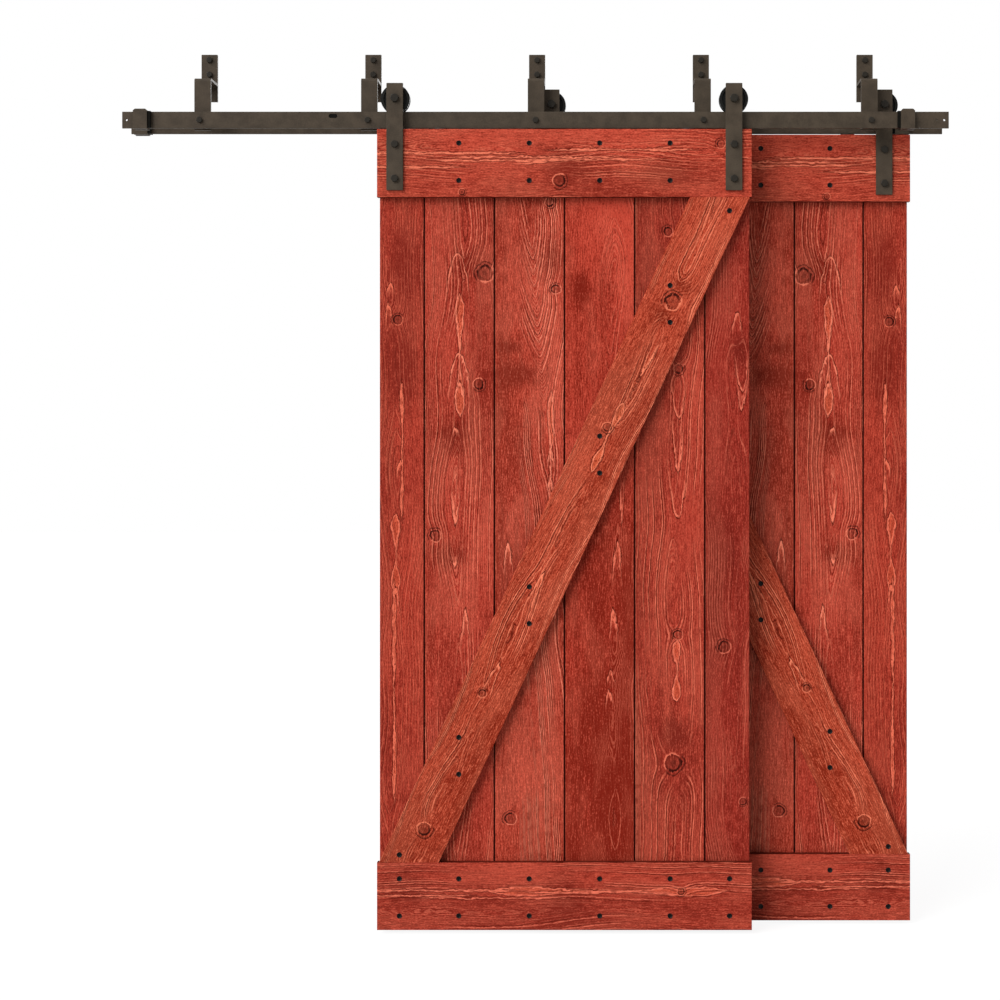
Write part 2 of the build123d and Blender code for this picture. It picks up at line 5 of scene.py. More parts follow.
import bpy
import numpy as np
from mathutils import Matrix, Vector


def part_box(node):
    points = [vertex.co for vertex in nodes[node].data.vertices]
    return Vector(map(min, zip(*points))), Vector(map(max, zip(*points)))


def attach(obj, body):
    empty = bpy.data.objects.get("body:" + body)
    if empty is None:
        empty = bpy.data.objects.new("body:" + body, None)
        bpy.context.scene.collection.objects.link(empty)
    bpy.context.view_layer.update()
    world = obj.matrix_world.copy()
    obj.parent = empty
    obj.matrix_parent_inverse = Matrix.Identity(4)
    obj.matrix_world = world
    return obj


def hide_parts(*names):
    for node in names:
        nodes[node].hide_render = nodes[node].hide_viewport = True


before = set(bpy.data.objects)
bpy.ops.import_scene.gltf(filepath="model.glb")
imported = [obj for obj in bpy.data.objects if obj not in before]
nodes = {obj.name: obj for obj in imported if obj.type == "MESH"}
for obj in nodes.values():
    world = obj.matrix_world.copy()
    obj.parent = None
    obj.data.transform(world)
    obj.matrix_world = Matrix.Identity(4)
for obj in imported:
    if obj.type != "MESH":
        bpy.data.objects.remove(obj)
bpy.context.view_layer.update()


# Boards: knotty pine, planed with a tongue and a groove, then wire-brushed. The brush takes out the soft
# early wood, so the hard late rings stand up as ridges. A red stain soaks into the ground and is rubbed
# off the ridges, which stay lighter.
class Shade:
    """A material's nodes and one output among them. Its operators add Math nodes."""

    def __init__(self, tree, socket=None):
        self.tree, self.socket = tree, socket

    def node(self, kind, settings, inputs, out=0):
        """Add a node with its settings first, then the values or links of its sockets."""
        new = self.tree.nodes.new(kind)
        for key, value in settings.items():
            setattr(new, key, value)
        for key, value in inputs.items():
            if isinstance(value, Shade):
                self.tree.links.new(value.socket, new.inputs[key])
            else:
                new.inputs[key].default_value = value
        return Shade(self.tree, new.outputs[out])

    def maths(self, operation, *others):
        """A Math node of this value first and the others after it."""
        return self.node("ShaderNodeMath", {"operation": operation}, dict(enumerate((self, *others))))

    def __add__(self, other):
        return self.maths("ADD", other)

    __radd__ = __add__

    def __sub__(self, other):
        return self.maths("SUBTRACT", other)

    def __rsub__(self, other):
        return self.node("ShaderNodeMath", {"operation": "SUBTRACT"}, {0: other, 1: self})

    def __mul__(self, other):
        return self.maths("MULTIPLY", other)

    __rmul__ = __mul__

    def __truediv__(self, other):
        return self.maths("DIVIDE", other)

    def line(self, factor, shift):
        """This * factor + shift in one Math node."""
        return self.maths("MULTIPLY_ADD", factor, shift)

    def flat(self, value):
        """One value all over."""
        return self.line(0.0, value)

    def apart(self, middle, half):
        """How many halves this lies past the middle: (this - middle) / half in one Math node."""
        return self.line(1 / half, -middle / half)

    def ramp(self, start, end, low=0.0, high=1.0):
        """Go smoothly from low to high as this goes from start to end."""
        settings = {"interpolation_type": "SMOOTHSTEP"}
        inputs = {"Value": self, "From Min": start, "From Max": end, "To Min": low, "To Max": high}
        return self.node("ShaderNodeMapRange", settings, inputs)

    def within(self, rise, fall):
        """1 between the two steps, each given as its start and its end, and 0 outside them."""
        return self.ramp(*rise) * self.ramp(fall[1], fall[0])

    def mix(self, low, high):
        """The colour low where this is 0 and high where it is 1."""
        return self.node("ShaderNodeMix", {"data_type": "RGBA"}, {0: self, 6: low, 7: high}, out=2)

    def noise(self, scale, detail=2.0):
        """Noise from 0 to 1 at this position."""
        return self.node("ShaderNodeTexNoise", {}, {"Vector": self, "Scale": scale, "Detail": detail})

    def drift(self, scale, seed):
        """Slow noise from about -1 to 1 along this one measure."""
        inputs = {"W": self * scale + seed, "Scale": 1.0, "Detail": 1.0}
        return self.node("ShaderNodeTexNoise", {"noise_dimensions": "1D"}, inputs) * 4 - 2

    def dot(self, direction):
        """How far this position lies along a direction."""
        settings = {"operation": "DOT_PRODUCT"}
        return self.node("ShaderNodeVectorMath", settings, {0: self, 1: direction}, out=1)

    def point(self, *parts):
        """A position with these three parts."""
        return self.node("ShaderNodeCombineXYZ", {}, dict(enumerate(parts)))


def new_finish(name, **constants):
    """A material with its plain surface shader, and the position on the piece."""
    finish = bpy.data.materials.new(name)
    finish.use_nodes = True
    shader = finish.node_tree.nodes["Principled BSDF"]
    for socket, value in constants.items():
        shader.inputs[socket.replace("_", " ")].default_value = value
    place = Shade(finish.node_tree).node("ShaderNodeTexCoord", {}, {}, out="Object")
    return finish, shader, place


def join(shader, socket, value):
    """Link a value to one of the shader's sockets."""
    value.tree.links.new(value.socket, shader.inputs[socket])


def relief(shader, height, distance):
    """Raise the surface by up to this distance where height is 1."""
    join(shader, "Normal", height.node("ShaderNodeBump", {}, {"Height": height, "Distance": distance}))


def dress(name, finish):
    """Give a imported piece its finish."""
    for held in nodes[name].material_slots:
        held.material = finish


# The back door is the front door's mirror image, so its parts lie on the other hand.
hands = {"front_door": 1, "back_door": -1}
rails = [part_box(f"{door}_bottom_rail") for door in hands]
door_middles = [(low.x + high.x) / 2 for low, high in rails]
door_faces = [low.y for low, high in rails]
door_feet = [low.z for low, high in rails]
air_between_doors = 0.02


def door_box(part):
    """A part of the front door: its left and right side, measured from the door's middle, and its corners."""
    low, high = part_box(f"front_door_{part}")
    return low.x - door_middles[0], high.x - door_middles[0], low, high


def shared_place(place):
    """A position that both doors share: the back door's is moved on to the front door and mirrored about
    the door's middle, where x is 0."""
    x, y, z = place.dot((1, 0, 0)), place.dot((0, 1, 0)), place.dot((0, 0, 1))
    behind = y.maths("GREATER_THAN", door_faces[1] - air_between_doors)
    return place.point(
        (x - door_middles[0] - behind * (door_middles[1] - door_middles[0])) * (1 - behind * 2),
        y - behind * (door_faces[1] - door_faces[0]),
        z - behind * (door_feet[1] - door_feet[0]),
    )


def oval(u, v, middle_u, middle_v, half_width, half_length):
    """A soft oval patch: e to the power of -(du^2 + dv^2), with both distances counted in its half sizes."""
    du, dv = u.apart(middle_u, half_width), v.apart(middle_v, half_length)
    return (du * du * -1 - dv * dv).maths("EXPONENT")


# Bands round a knot in its radii, each given as (rise, fall): the crack of its rim, then a painted shadow and
# a painted highlight outside it.
rim = ((0.74, 0.86), (1.08, 1.20))
rim_shadow = ((1.40, 1.48), (1.60, 1.70))
rim_light = ((1.10, 1.20), (1.32, 1.44))


def knot_cracks_and_shading(span, shaded_side, broken):
    """The cracks of a knot, with a painted shadow and a painted highlight beside them, by the distance from
    its middle in knot radii. It is cracked round the rim; outside the rim lies a painted shadow on the shaded
    side and a painted highlight on the other."""
    crack_and_shade = span.within(*rim) * shaded_side.line(0.7, 0.3) * broken
    crack_and_shade = crack_and_shade.maths("MAXIMUM", span.within(*rim_shadow) * shaded_side.ramp(0.4, 0.9) * 0.7)
    crack_and_shade = crack_and_shade.maths("MAXIMUM", span.ramp(0.50, 0.20) * 0.35)
    return crack_and_shade, span.within(*rim_light) * shaded_side.ramp(0.7, 0.1) * broken


edge_line, edge_hollow, edge_step = (0.0024, 0.0010), (0.0018, 0.0006), 0.0026
edge_fill = (0.0, -0.002)
narrow_arch = 0.0125


def single_rings(look, v, swayed, rough, ridge, hollow):
    """Arches and flames: single rings that the planer met almost flat. Their edges are rubbed pale, and so
    is all of a flame and the tip of a narrow arch.
    way past an arch's edge = (du^2 - below) * half width / (2 * sqrt(below)), where below is the way down
    from its tip in arch lengths. Way past a flame's edge = (|du| + dv^2 - 1) * half width."""
    edges = []
    for tip_u, tip_v, half_width, length in look.get("arches", ()):
        du, below = swayed.apart(tip_u, half_width), v.apart(tip_v, -length)
        root = below.maths("MAXIMUM", 0.03).maths("SQRT") * (2 / half_width)
        fade = below.ramp(1.0, 0.3, 0.0, 0.95)
        fill = below.ramp(0.45, 0.0, 0.0, 0.5) if half_width < narrow_arch else None
        edges.append(((du * du - below) / root + rough, fade, fade, fill))
    for middle_u, middle_v, half_width, half_length in look.get("flames", ()):
        du, dv = swayed.apart(middle_u, half_width), v.apart(middle_v, half_length)
        dv = dv + dv * dv * 0.25
        way = dv.maths("MULTIPLY_ADD", dv, du.maths("ABSOLUTE")).line(half_width, -half_width) + rough
        edges.append((way, 0.95, 0.7, 0.55))
    glow = v.flat(0.0)
    for way, pale, dark, fill in edges:
        ridge = ridge.maths("MAXIMUM", way.maths("ABSOLUTE").ramp(*edge_line, 0.0, pale))
        hollow = hollow.maths("MAXIMUM", (way - edge_step).maths("ABSOLUTE").ramp(*edge_hollow, 0.0, dark))
        if fill is not None:
            glow = glow.maths("MAXIMUM", way.ramp(*edge_fill, 0.0, fill))
    return ridge, hollow, glow


ring_line, ring_hollow = (0.0028, 0.0014), (0.0026, 0.0010)
fine_wave = 14.45
seam_half_width, seam_depths = (0.0026, 0.0016), ((0.0003, 0.0012), (0.004, 0.006))
soaked_fibre = (0.15, 0.008, 0.002, 1)
soaked_hollow = (0.085, 0.004, 0.001, 1)
knot_brown = (0.13, 0.022, 0.012, 1)
crack_and_shade_black = (0.022, 0.002, 0.001, 1)
seam_shadow_black = (0.008, 0.001, 0.001, 1)
sawn_edge_stain_and_shade = (0.045, 0.003, 0.001, 1)
grain_height = 0.0013


def stained_pine(name, middle, across, along, look, joints=()):
    """Pine cut from a log. Its rings show on the face as nested arches about a pith line that wanders, and
    they close round each knot. u runs across the grain, v along it and w into the board.
    ring number = (sqrt(side^2 + tip^2) + bend * side^2 + rise along the board + each knot's push) / spacing.
    A late ring ends in a sharp edge: a raised pale line with a dark hollow beside it. The way to that edge
    = the part of a turn that is left * spacing / how fast the rings go by across the face.
    Between the rings run finer lines = sine of (ring number * fine_wave)."""
    finish, shader, place = new_finish(name, Specular_IOR_Level=0.04)
    place = shared_place(place)
    u = place.dot(across) - float(np.dot(middle, across))
    v = place.dot(along) - float(np.dot(middle, along))
    w = place.dot((0, 1, 0)) - float(middle[1])
    seed, spacing = look["seed"], look["spacing"]

    # Unevenness, from clouds of tone to single fibres, all drawn out along the grain but the last.
    start = u + seed
    cloud = place.point(start, w, v * 0.3)
    band = place.point(start, w, v * 0.05).noise(95.0, 3.0)
    fibre = place.point(start, w, v * 0.13).noise(330.0)
    speck = place.point(start, w, v * 0.45).noise(420.0)
    waver = place.point(start, w, v * 0.5).noise(120.0)
    wear, lump = cloud.noise(60.0), place.noise(60.0)

    side = u - look["pith"] - v.drift(1.6, seed) * look["wander"] - v * look.get("lean", 0.0)
    fan = side.maths("MULTIPLY_ADD", side, look["tip"] ** 2).maths("SQRT")
    off = side.maths("ABSOLUTE")
    steep = off / fan + off.line(2 * look["bend"], 0.15)
    reach = fan + side * side * look["bend"] + v.drift(2.3, seed + 50) * look["swing"]
    reach = reach + cloud.noise(18.0) * 0.009 + wear * 0.004 + waver * 0.006 + speck * 0.0012
    for low, high, change in look.get("nests", ()):
        reach = reach + v.ramp(low, high, 0.0, change)
    for *patch, push in look.get("eyes", ()):
        reach = reach + oval(u, v, *patch) * push

    # Knots push the rings aside. Each knot's painted shadow and painted highlight swap sides from the knot
    # before it.
    nearest, shaded_side, turned = u.flat(9.0), u.flat(0.0), 1
    for knot_u, knot_v, radius in look.get("knots", ()):
        du, dv = u.apart(knot_u, radius), v.apart(knot_v, radius)
        far = du.maths("MULTIPLY_ADD", du, dv * dv)
        reach = (far * -0.12).maths("EXPONENT").maths("MULTIPLY_ADD", radius * 1.5, reach)
        nearest = nearest.maths("MINIMUM", far)
        slant = dv - du if turned > 0 else du - dv
        shaded_side = slant.maths("MULTIPLY_ADD", far.maths("LESS_THAN", 6.0), shaded_side)
        turned = -turned
    span = nearest.maths("SQRT") + lump * 0.8 + speck * 0.35 - 0.575
    knot = span.ramp(1.0, 0.85)
    crack_and_shade, lit = knot_cracks_and_shading(span, shaded_side.ramp(-1.0, 0.9), band.ramp(0.34, 0.46, 0.45, 1.0))

    # Rings, each with a strength of its own, and finer lines between them.
    ring = reach / spacing
    turn, number = ring.maths("FRACT"), ring.maths("FLOOR")
    strong = number.node("ShaderNodeTexWhiteNoise", {"noise_dimensions": "1D"}, {"W": number + seed})
    strong = strong.ramp(0.1, 0.9, 0.1, 1.0) * cloud.noise(11.0).ramp(0.40, 0.56, 0.08, 1.0)
    if "calm" in look:
        strong = strong * u.ramp(*look["calm"], 0.15, 1.0)
    ahead, passed = turn.line(-spacing, spacing) / steep, turn * spacing / steep
    ridge = ahead.ramp(*ring_line) * strong * look["lines"]
    hollow = passed.ramp(*ring_hollow) * strong * look["lines"]
    thin = ring.line(fine_wave, 0.0).maths("SINE").ramp(0.0, 0.9, 0.0, 0.3)
    thin = thin * cloud.noise(14.0).ramp(0.45, 0.6)
    swayed = u + wear * 0.012 + waver * 0.009 - 0.0105
    rough = speck * 0.0014 + waver * 0.003 - 0.0022
    ridge, hollow, glow = single_rings(look, v, swayed, rough, ridge, hollow)
    ridge = ridge * waver.ramp(0.36, 0.54, 0.40, 1.0)

    # Stain: uneven over the ground, deep in the hollows and the cracks, rubbed off what stands up. Shade and
    # highlights are painted in round the knots, and shade is painted in the joints and on the sawn edges.
    stain = cloud.noise(6.0, 3.0) * 1.3 + band * 0.6 + fibre + speck - 1.45
    # On some pieces the ground grows lighter towards the top and darker towards the foot.
    rise, level = look.get("tilt", (0.0, 0.0))
    stain = stain + v.line(rise, -level * rise)
    for smudge in look.get("smudges", ()):
        stain = stain - oval(u, v, *smudge) * 0.5
    grain = fibre * 0.5 + speck * 0.5
    ground = stain.ramp(0.1, 0.9).mix(look["dark"], look["red"])
    ground = grain.ramp(0.50, 0.68, 0.0, look.get("rub", 0.28)).mix(ground, look["pale"])
    ground = grain.ramp(0.50, 0.36, 0.0, look.get("soak", 0.5)).mix(ground, soaked_fibre)
    colour = (glow * grain.ramp(0.36, 0.6, 0.1, 0.8)).mix(ground, look["glow"])
    colour = (hollow * 0.9).mix(colour, soaked_hollow)
    # Ridges and fine lines are rubbed pale. Beside each knot the pale is a painted highlight.
    pale = (ridge * 0.9).maths("MAXIMUM", thin).maths("MAXIMUM", lit * 0.7)
    colour = pale.mix(colour, look["pale"])
    colour = (knot * 0.25).mix(colour, knot_brown)
    # Cracks and knot hearts go near-black, and so does the painted shadow beside each knot.
    colour = (crack_and_shade * 0.95).mix(colour, crack_and_shade_black)
    # The V-joints between the planks go near-black: painted shade, as in a deeper gap.
    for edge in joints:
        gap = (u - edge).maths("ABSOLUTE")
        shade = gap.ramp(*seam_half_width) * w.within(*seam_depths)
        colour = (shade * 0.95).mix(colour, seam_shadow_black)

    # Sawn edges drink more stain than the faces. Their darkening is also painted shade: the dark line along
    # the rails' and the brace's edges.
    towards_room = place.node("ShaderNodeTexCoord", {}, {}, out="Normal").dot((0, 1, 0)).maths("ABSOLUTE")
    colour = towards_room.ramp(0.5, 0.2, 0.0, 0.85).mix(colour, sawn_edge_stain_and_shade)
    join(shader, "Base Color", colour)
    join(shader, "Roughness", fibre * 0.3 + 0.45 - ridge * 0.1)
    height = ridge * 0.5 - hollow * 0.7 + fibre * 0.6 + speck * 0.5 - crack_and_shade * 0.6 + lit * 0.3
    relief(shader, height, grain_height)
    return finish


# Each board's look. Places are in metres: u from the board's middle and v up from the door's foot.
# The rings: pith, wander and lean place their common line, tip and bend round them, swing and nests
# (from, to, change) make them climb, spacing parts them, and lines and calm (from, to) give their strength.
# knots are (u, v, radius), eyes (u, v, half sizes, push), arches (u, v of the tip, half width, length down),
# flames and smudges (u, v, half sizes), and tilt is (how much lighter the ground grows a metre up, v where it
# is unchanged).
board_looks = {
    1: dict(
        seed=3.0, pith=-0.02, wander=0.02, tip=0.006, bend=6.0, swing=0.03, spacing=0.0115, lines=0.45,
        dark=(0.21, 0.018, 0.010, 1), red=(0.435, 0.048, 0.027, 1),
        pale=(0.82, 0.170, 0.095, 1), glow=(0.75, 0.122, 0.052, 1),
        knots=[(-0.013, 1.473, 0.010)],
        flames=[(-0.018, 0.974, 0.009, 0.034), (-0.003, 1.268, 0.002, 0.055), (-0.022, 0.75, 0.003, 0.09)],
        arches=[(-0.030, 1.561, 0.007, 0.03), (-0.035, 1.510, 0.010, 0.07), (-0.008, 1.130, 0.009, 0.05),
                (-0.018, 0.82, 0.012, 0.08)],
        smudges=[(0.0, 1.35, 0.03, 0.09), (0.01, 1.62, 0.03, 0.1)],
    ),
    2: dict(
        seed=11.0, pith=-0.005, wander=0.012, tip=0.006, bend=7.0, swing=0.025, spacing=0.0095, lines=0.7,
        dark=(0.20, 0.016, 0.008, 1), red=(0.465, 0.051, 0.030, 1),
        pale=(0.92, 0.230, 0.135, 1), glow=(0.85, 0.166, 0.074, 1),
        knots=[(0.060, 1.586, 0.017), (0.044, 1.318, 0.0115), (-0.062, 0.951, 0.012)],
        flames=[(-0.002, 1.491, 0.0085, 0.052)],
        arches=[(-0.007, 1.632, 0.032, 0.13), (-0.003, 1.391, 0.030, 0.13), (-0.003, 1.319, 0.013, 0.08),
                (-0.012, 1.212, 0.008, 0.025), (-0.012, 0.983, 0.010, -0.10), (-0.014, 0.876, 0.006, -0.03),
                (0.012, 0.767, 0.011, 0.10)],
        smudges=[(-0.02, 1.19, 0.035, 0.04), (0.018, 1.61, 0.03, 0.03), (-0.03, 0.90, 0.04, 0.03)],
    ),
    3: dict(
        seed=23.0, pith=0.134, wander=0.002, lean=-0.080, tip=0.005, bend=8.0, swing=0.02, spacing=0.0085,
        lines=1.0, calm=(-0.035, -0.008), nests=[(1.20, 1.60, -0.130), (1.56, 1.90, -0.070)],
        dark=(0.21, 0.019, 0.009, 1), red=(0.51, 0.062, 0.035, 1),
        pale=(0.92, 0.240, 0.145, 1), glow=(0.85, 0.173, 0.080, 1),
        knots=[(0.061, 1.548, 0.010), (0.046, 1.758, 0.010), (-0.050, 0.265, 0.012)],
        flames=[(0.049, 1.246, 0.0065, 0.060)],
        arches=[(0.049, 1.159, 0.008, 0.055), (0.049, 1.087, 0.008, 0.045), (-0.055, 0.929, 0.011, 0.09)],
        smudges=[(-0.055, 1.407, 0.030, 0.015), (-0.03, 1.34, 0.05, 0.03), (0.05, 1.62, 0.04, 0.05)],
    ),
    4: dict(
        seed=37.0, pith=0.030, wander=0.012, tip=0.006, bend=5.0, swing=0.03, spacing=0.0105, lines=0.5,
        calm=(-0.02, 0.03), tilt=(0.50, 1.25),
        dark=(0.19, 0.012, 0.005, 1), red=(0.50, 0.055, 0.031, 1),
        pale=(0.84, 0.180, 0.105, 1), glow=(0.77, 0.130, 0.058, 1),
        arches=[(0.051, 0.99, 0.006, -0.12), (0.040, 0.93, 0.012, 0.12), (0.031, 0.767, 0.009, 0.09),
                (0.024, 0.622, 0.010, 0.04), (0.020, 0.575, 0.010, 0.05)],
        smudges=[(-0.05, 1.55, 0.02, 0.04)],
    ),
    5: dict(
        seed=51.0, pith=0.012, wander=0.010, tip=0.007, bend=7.0, swing=0.022, spacing=0.0078, lines=0.75,
        dark=(0.18, 0.016, 0.009, 1), red=(0.43, 0.047, 0.027, 1),
        pale=(0.86, 0.195, 0.112, 1), glow=(0.79, 0.140, 0.062, 1),
        knots=[(-0.0075, 1.688, 0.010), (0.019, 1.354, 0.010), (0.017, 0.71, 0.010), (0.006, 0.399, 0.018)],
        eyes=[(0.006, 0.399, 0.05, 0.09, 0.03)],
        flames=[(0.014, 0.675, 0.009, 0.026)],
        arches=[(0.017, 1.111, 0.016, -0.16), (0.017, 0.997, 0.022, -0.12), (0.019, 1.237, 0.018, -0.10)],
        smudges=[(0.006, 0.47, 0.03, 0.03)],
    ),
    6: dict(
        seed=67.0, pith=0.024, wander=0.010, tip=0.007, bend=6.0, swing=0.025, spacing=0.0105, lines=0.45,
        tilt=(0.12, 0.9),
        dark=(0.16, 0.012, 0.007, 1), red=(0.33, 0.031, 0.019, 1),
        pale=(0.78, 0.175, 0.105, 1), glow=(0.72, 0.126, 0.058, 1),
        knots=[(-0.007, 0.681, 0.013), (0.038, 0.306, 0.008)],
        eyes=[(0.024, 1.427, 0.012, 0.03, 0.02), (0.03, 1.25, 0.014, 0.09, 0.02)],
        arches=[(0.024, 1.488, 0.012, 0.06), (0.036, 1.302, 0.018, -0.10), (0.036, 1.256, 0.014, -0.08)],
        smudges=[(0.03, 1.40, 0.03, 0.05)],
    ),
}
tongue, board_gap = 0.006, 0.0005
for number, look in board_looks.items():
    left, right, low, high = door_box(f"board_{number}")
    half = (right - left) / 2
    joints = [-half - board_gap / 2] * (number > 1) + [half - tongue + board_gap / 2] * (number < 6)
    middle = ((left + right) / 2, low.y, door_feet[0])
    finish = stained_pine(f"board_{number}_pine", middle, (1, 0, 0), (0, 0, 1), look, joints)
    for door in hands:
        dress(f"{door}_board_{number}", finish)

# Rails: broad pine boards laid across both ends of the planks and screwed to each. Their grain is level,
# so in their looks u runs up and v to the right, both from the rail's middle.
rail_looks = {
    "top_rail": dict(
        seed=83.0, pith=0.035, wander=0.012, tip=0.010, bend=3.0, swing=0.012, spacing=0.0088, lines=0.75,
        dark=(0.22, 0.021, 0.011, 1), red=(0.53, 0.067, 0.037, 1),
        pale=(0.90, 0.215, 0.120, 1), glow=(0.83, 0.155, 0.066, 1),
        knots=[(-0.043, -0.012, 0.013), (0.046, 0.377, 0.009), (-0.070, -0.247, 0.007)],
        flames=[(0.024, -0.20, 0.0006, 0.06), (0.006, -0.06, 0.0006, 0.05), (0.014, 0.05, 0.0006, 0.06),
                (0.008, 0.17, 0.0007, 0.05), (0.032, 0.24, 0.0004, 0.05), (-0.010, -0.33, 0.0004, 0.05)],
        arches=[(0.002, -0.05, 0.006, 0.09)],
        smudges=[(0.0, 0.0, 0.04, 0.05), (-0.02, 0.25, 0.03, 0.05)],
    ),
    "bottom_rail": dict(
        seed=97.0, pith=-0.03, wander=0.012, tip=0.010, bend=3.0, swing=0.012, spacing=0.0076, lines=0.75,
        dark=(0.19, 0.018, 0.010, 1), red=(0.42, 0.050, 0.028, 1),
        pale=(0.82, 0.180, 0.105, 1), glow=(0.75, 0.130, 0.058, 1),
        knots=[(0.012, 0.281, 0.008)],
        flames=[(0.012, 0.305, 0.010, 0.10), (0.014, -0.20, 0.0007, 0.06), (0.002, -0.30, 0.0005, 0.05),
                (-0.004, -0.07, 0.0004, 0.05), (0.010, 0.13, 0.0004, 0.04)],
        smudges=[(0.0, 0.0, 0.05, 0.05), (0.02, -0.38, 0.04, 0.05)],
    ),
}
for part, look in rail_looks.items():
    left, right, low, high = door_box(part)
    middle = ((left + right) / 2, low.y, (low.z + high.z) / 2)
    finish = stained_pine(f"{part}_pine", middle, (0, 0, 1), (1, 0, 0), look)
    for door in hands:
        dress(f"{door}_{part}", finish)

# Brace: one board from corner to corner of the opening between the rails, with its ends cut level. It is
# of brighter and coarser pine than the planks. Its v runs up along it from its middle.
brace_width = 0.131
brace_look = dict(
    seed=113.0, pith=0.0, wander=0.012, tip=0.006, bend=6.0, swing=0.018, spacing=0.0060, lines=0.85,
    tilt=(0.12, 0.1), soak=0.75, rub=0.42,
    dark=(0.21, 0.018, 0.006, 1), red=(0.50, 0.068, 0.032, 1),
    pale=(0.92, 0.235, 0.125, 1), glow=(0.85, 0.169, 0.069, 1),
    knots=[(0.003, 0.611, 0.017), (-0.011, 0.268, 0.010), (-0.012, -0.441, 0.009), (0.0, -0.798, 0.014)],
    eyes=[(0.003, 0.611, 0.032, 0.050, 0.035)],
    flames=[(0.0, 0.31, 0.009, 0.032)],
    arches=[(0.010, 0.42, 0.010, -0.12), (0.0, -0.12, 0.012, 0.12), (-0.005, -0.36, 0.013, 0.10)],
    smudges=[(0.01, 0.655, 0.03, 0.02), (0.0, 0.57, 0.03, 0.02)],
)


def brace_lean(width, height):
    """The brace's angle from upright, for a board of brace_width that fills a box of this width and height
    with level ends = arccos(brace width / diagonal) - arctan(height / width)."""
    return acos(brace_width / hypot(width, height)) - atan(height / width)


left, right, low, high = door_box("brace")
lean = brace_lean(right - left, high.z - low.z)
middle = ((left + right) / 2, low.y, (low.z + high.z) / 2)
finish = stained_pine("brace_pine", middle, (cos(lean), 0, -sin(lean)), (sin(lean), 0, cos(lean)), brace_look)
for door in hands:
    dress(f"{door}_brace", finish)


# Steelwork: tracks, spacers, brackets, straps and end stops of flat bar and tube, powder-coated a matt
# dark bronze. The coat is slightly uneven in tone and has a fine orange-peel surface.
def bronze_coat(name, colour, roughness):
    """A matt coat with fine grain and slow changes of tone, a quarter up and down from its colour."""
    finish, shader, place = new_finish(name, Specular_IOR_Level=0.12)
    tone = place.noise(35.0, 3.0) * 0.6 + place.noise(400.0) * 0.4
    lighter = tuple(1.25 * part for part in colour)
    darker = tuple(0.75 * part for part in colour)
    join(shader, "Base Color", tone.ramp(0.3, 0.7).mix((*darker, 1), (*lighter, 1)))
    join(shader, "Roughness", place.noise(90.0) * 0.2 + roughness)
    orange_peel = 0.00016
    relief(shader, place.noise(1400.0) * 0.6 + place.noise(350.0) * 0.4, orange_peel)
    return finish


bronze = bronze_coat("bronze_coat", (0.056, 0.042, 0.029), 0.42)
steelwork = ["front_track", "back_track", "front_track_spacers", "back_track_spacers", "end_stops"]
steelwork += [f"bracket_{n}" for n in range(1, 6)]
steelwork += [f"{door}_{side}_strap" for door in hands for side in ("left", "right")]
for name in steelwork:
    dress(name, bronze)


# Rubber: the pads on the end stops and the plug in the front track's slot, moulded and matt black.
def speckled(name, specular, tones, tone_scale, gloss, gloss_scale, skin, skin_scale):
    """A finish between two tones, each given as its colour. gloss is the roughness (least, added by noise),
    and skin is how high the surface's fine unevenness stands."""
    finish, shader, place = new_finish(name, Specular_IOR_Level=specular)
    dark, light = [(*tone, 1) for tone in tones]
    join(shader, "Base Color", place.noise(tone_scale).mix(dark, light))
    join(shader, "Roughness", place.noise(gloss_scale) * gloss[1] + gloss[0])
    relief(shader, place.noise(skin_scale), skin)
    return finish


rubber = speckled("black_rubber", 0.06, [(0.003, 0.003, 0.002), (0.007, 0.006, 0.005)], 80.0,
                  (0.7, 0.15), 200.0, 0.0001, 900.0)
for name in ("stop_bumpers", "slot_plug"):
    dress(name, rubber)

# Bolts: hexagon heads turned off at their corners, plain shanks and rolled threads, all with a darker
# coat than the bars. They clamp the track, the straps and the wheels, and lag screws hold the set.
angle = np.arange(36) * np.pi / 18
random = np.random.default_rng(11)


def random_turns(count):
    """One chance angle for each of so many pieces."""
    return random.uniform(0, 6.28, count)


def spun(rings, places, turns):
    """A closed skin about each place: rings of (distance along +Y, radius), where a radius is one number
    or one for each angle, and a point in the middle of the first and the last ring. Each skin is turned
    about its axis by its own angle."""
    reach = np.stack([np.broadcast_to(far, angle.shape) for far, radius in rings])
    radius = np.stack([np.broadcast_to(radius, angle.shape) for far, radius in rings])
    grid = np.stack([radius * np.sin(angle), reach, radius * np.cos(angle)], axis=2).reshape(-1, 3)
    ends = [[0, reach[0].mean(), 0], [0, reach[-1].mean(), 0]]
    local = np.concatenate([grid, ends])
    across, back = np.cos(turns)[:, None], np.sin(turns)[:, None]
    points = np.stack([
        local[:, 0] * across + local[:, 2] * back,
        np.broadcast_to(local[:, 1], (len(places), len(local))),
        local[:, 2] * across - local[:, 0] * back,
    ], axis=2) + np.asarray(places)[:, None, :]
    index = np.arange(reach.size).reshape(reach.shape)
    beside = np.roll(index, -1, axis=1)
    walls = np.stack([index[:-1], beside[:-1], beside[1:], index[1:]], axis=2).reshape(-1, 4)
    first, last = np.full(len(angle), reach.size), np.full(len(angle), reach.size + 1)
    caps = np.concatenate([
        np.stack([first, beside[0], index[0]], axis=1),
        np.stack([last, index[-1], beside[-1]], axis=1),
    ])
    steps = np.arange(len(places))[:, None, None] * len(local)
    return points.reshape(-1, 3), (walls + steps).reshape(-1, 4), (caps + steps).reshape(-1, 3)


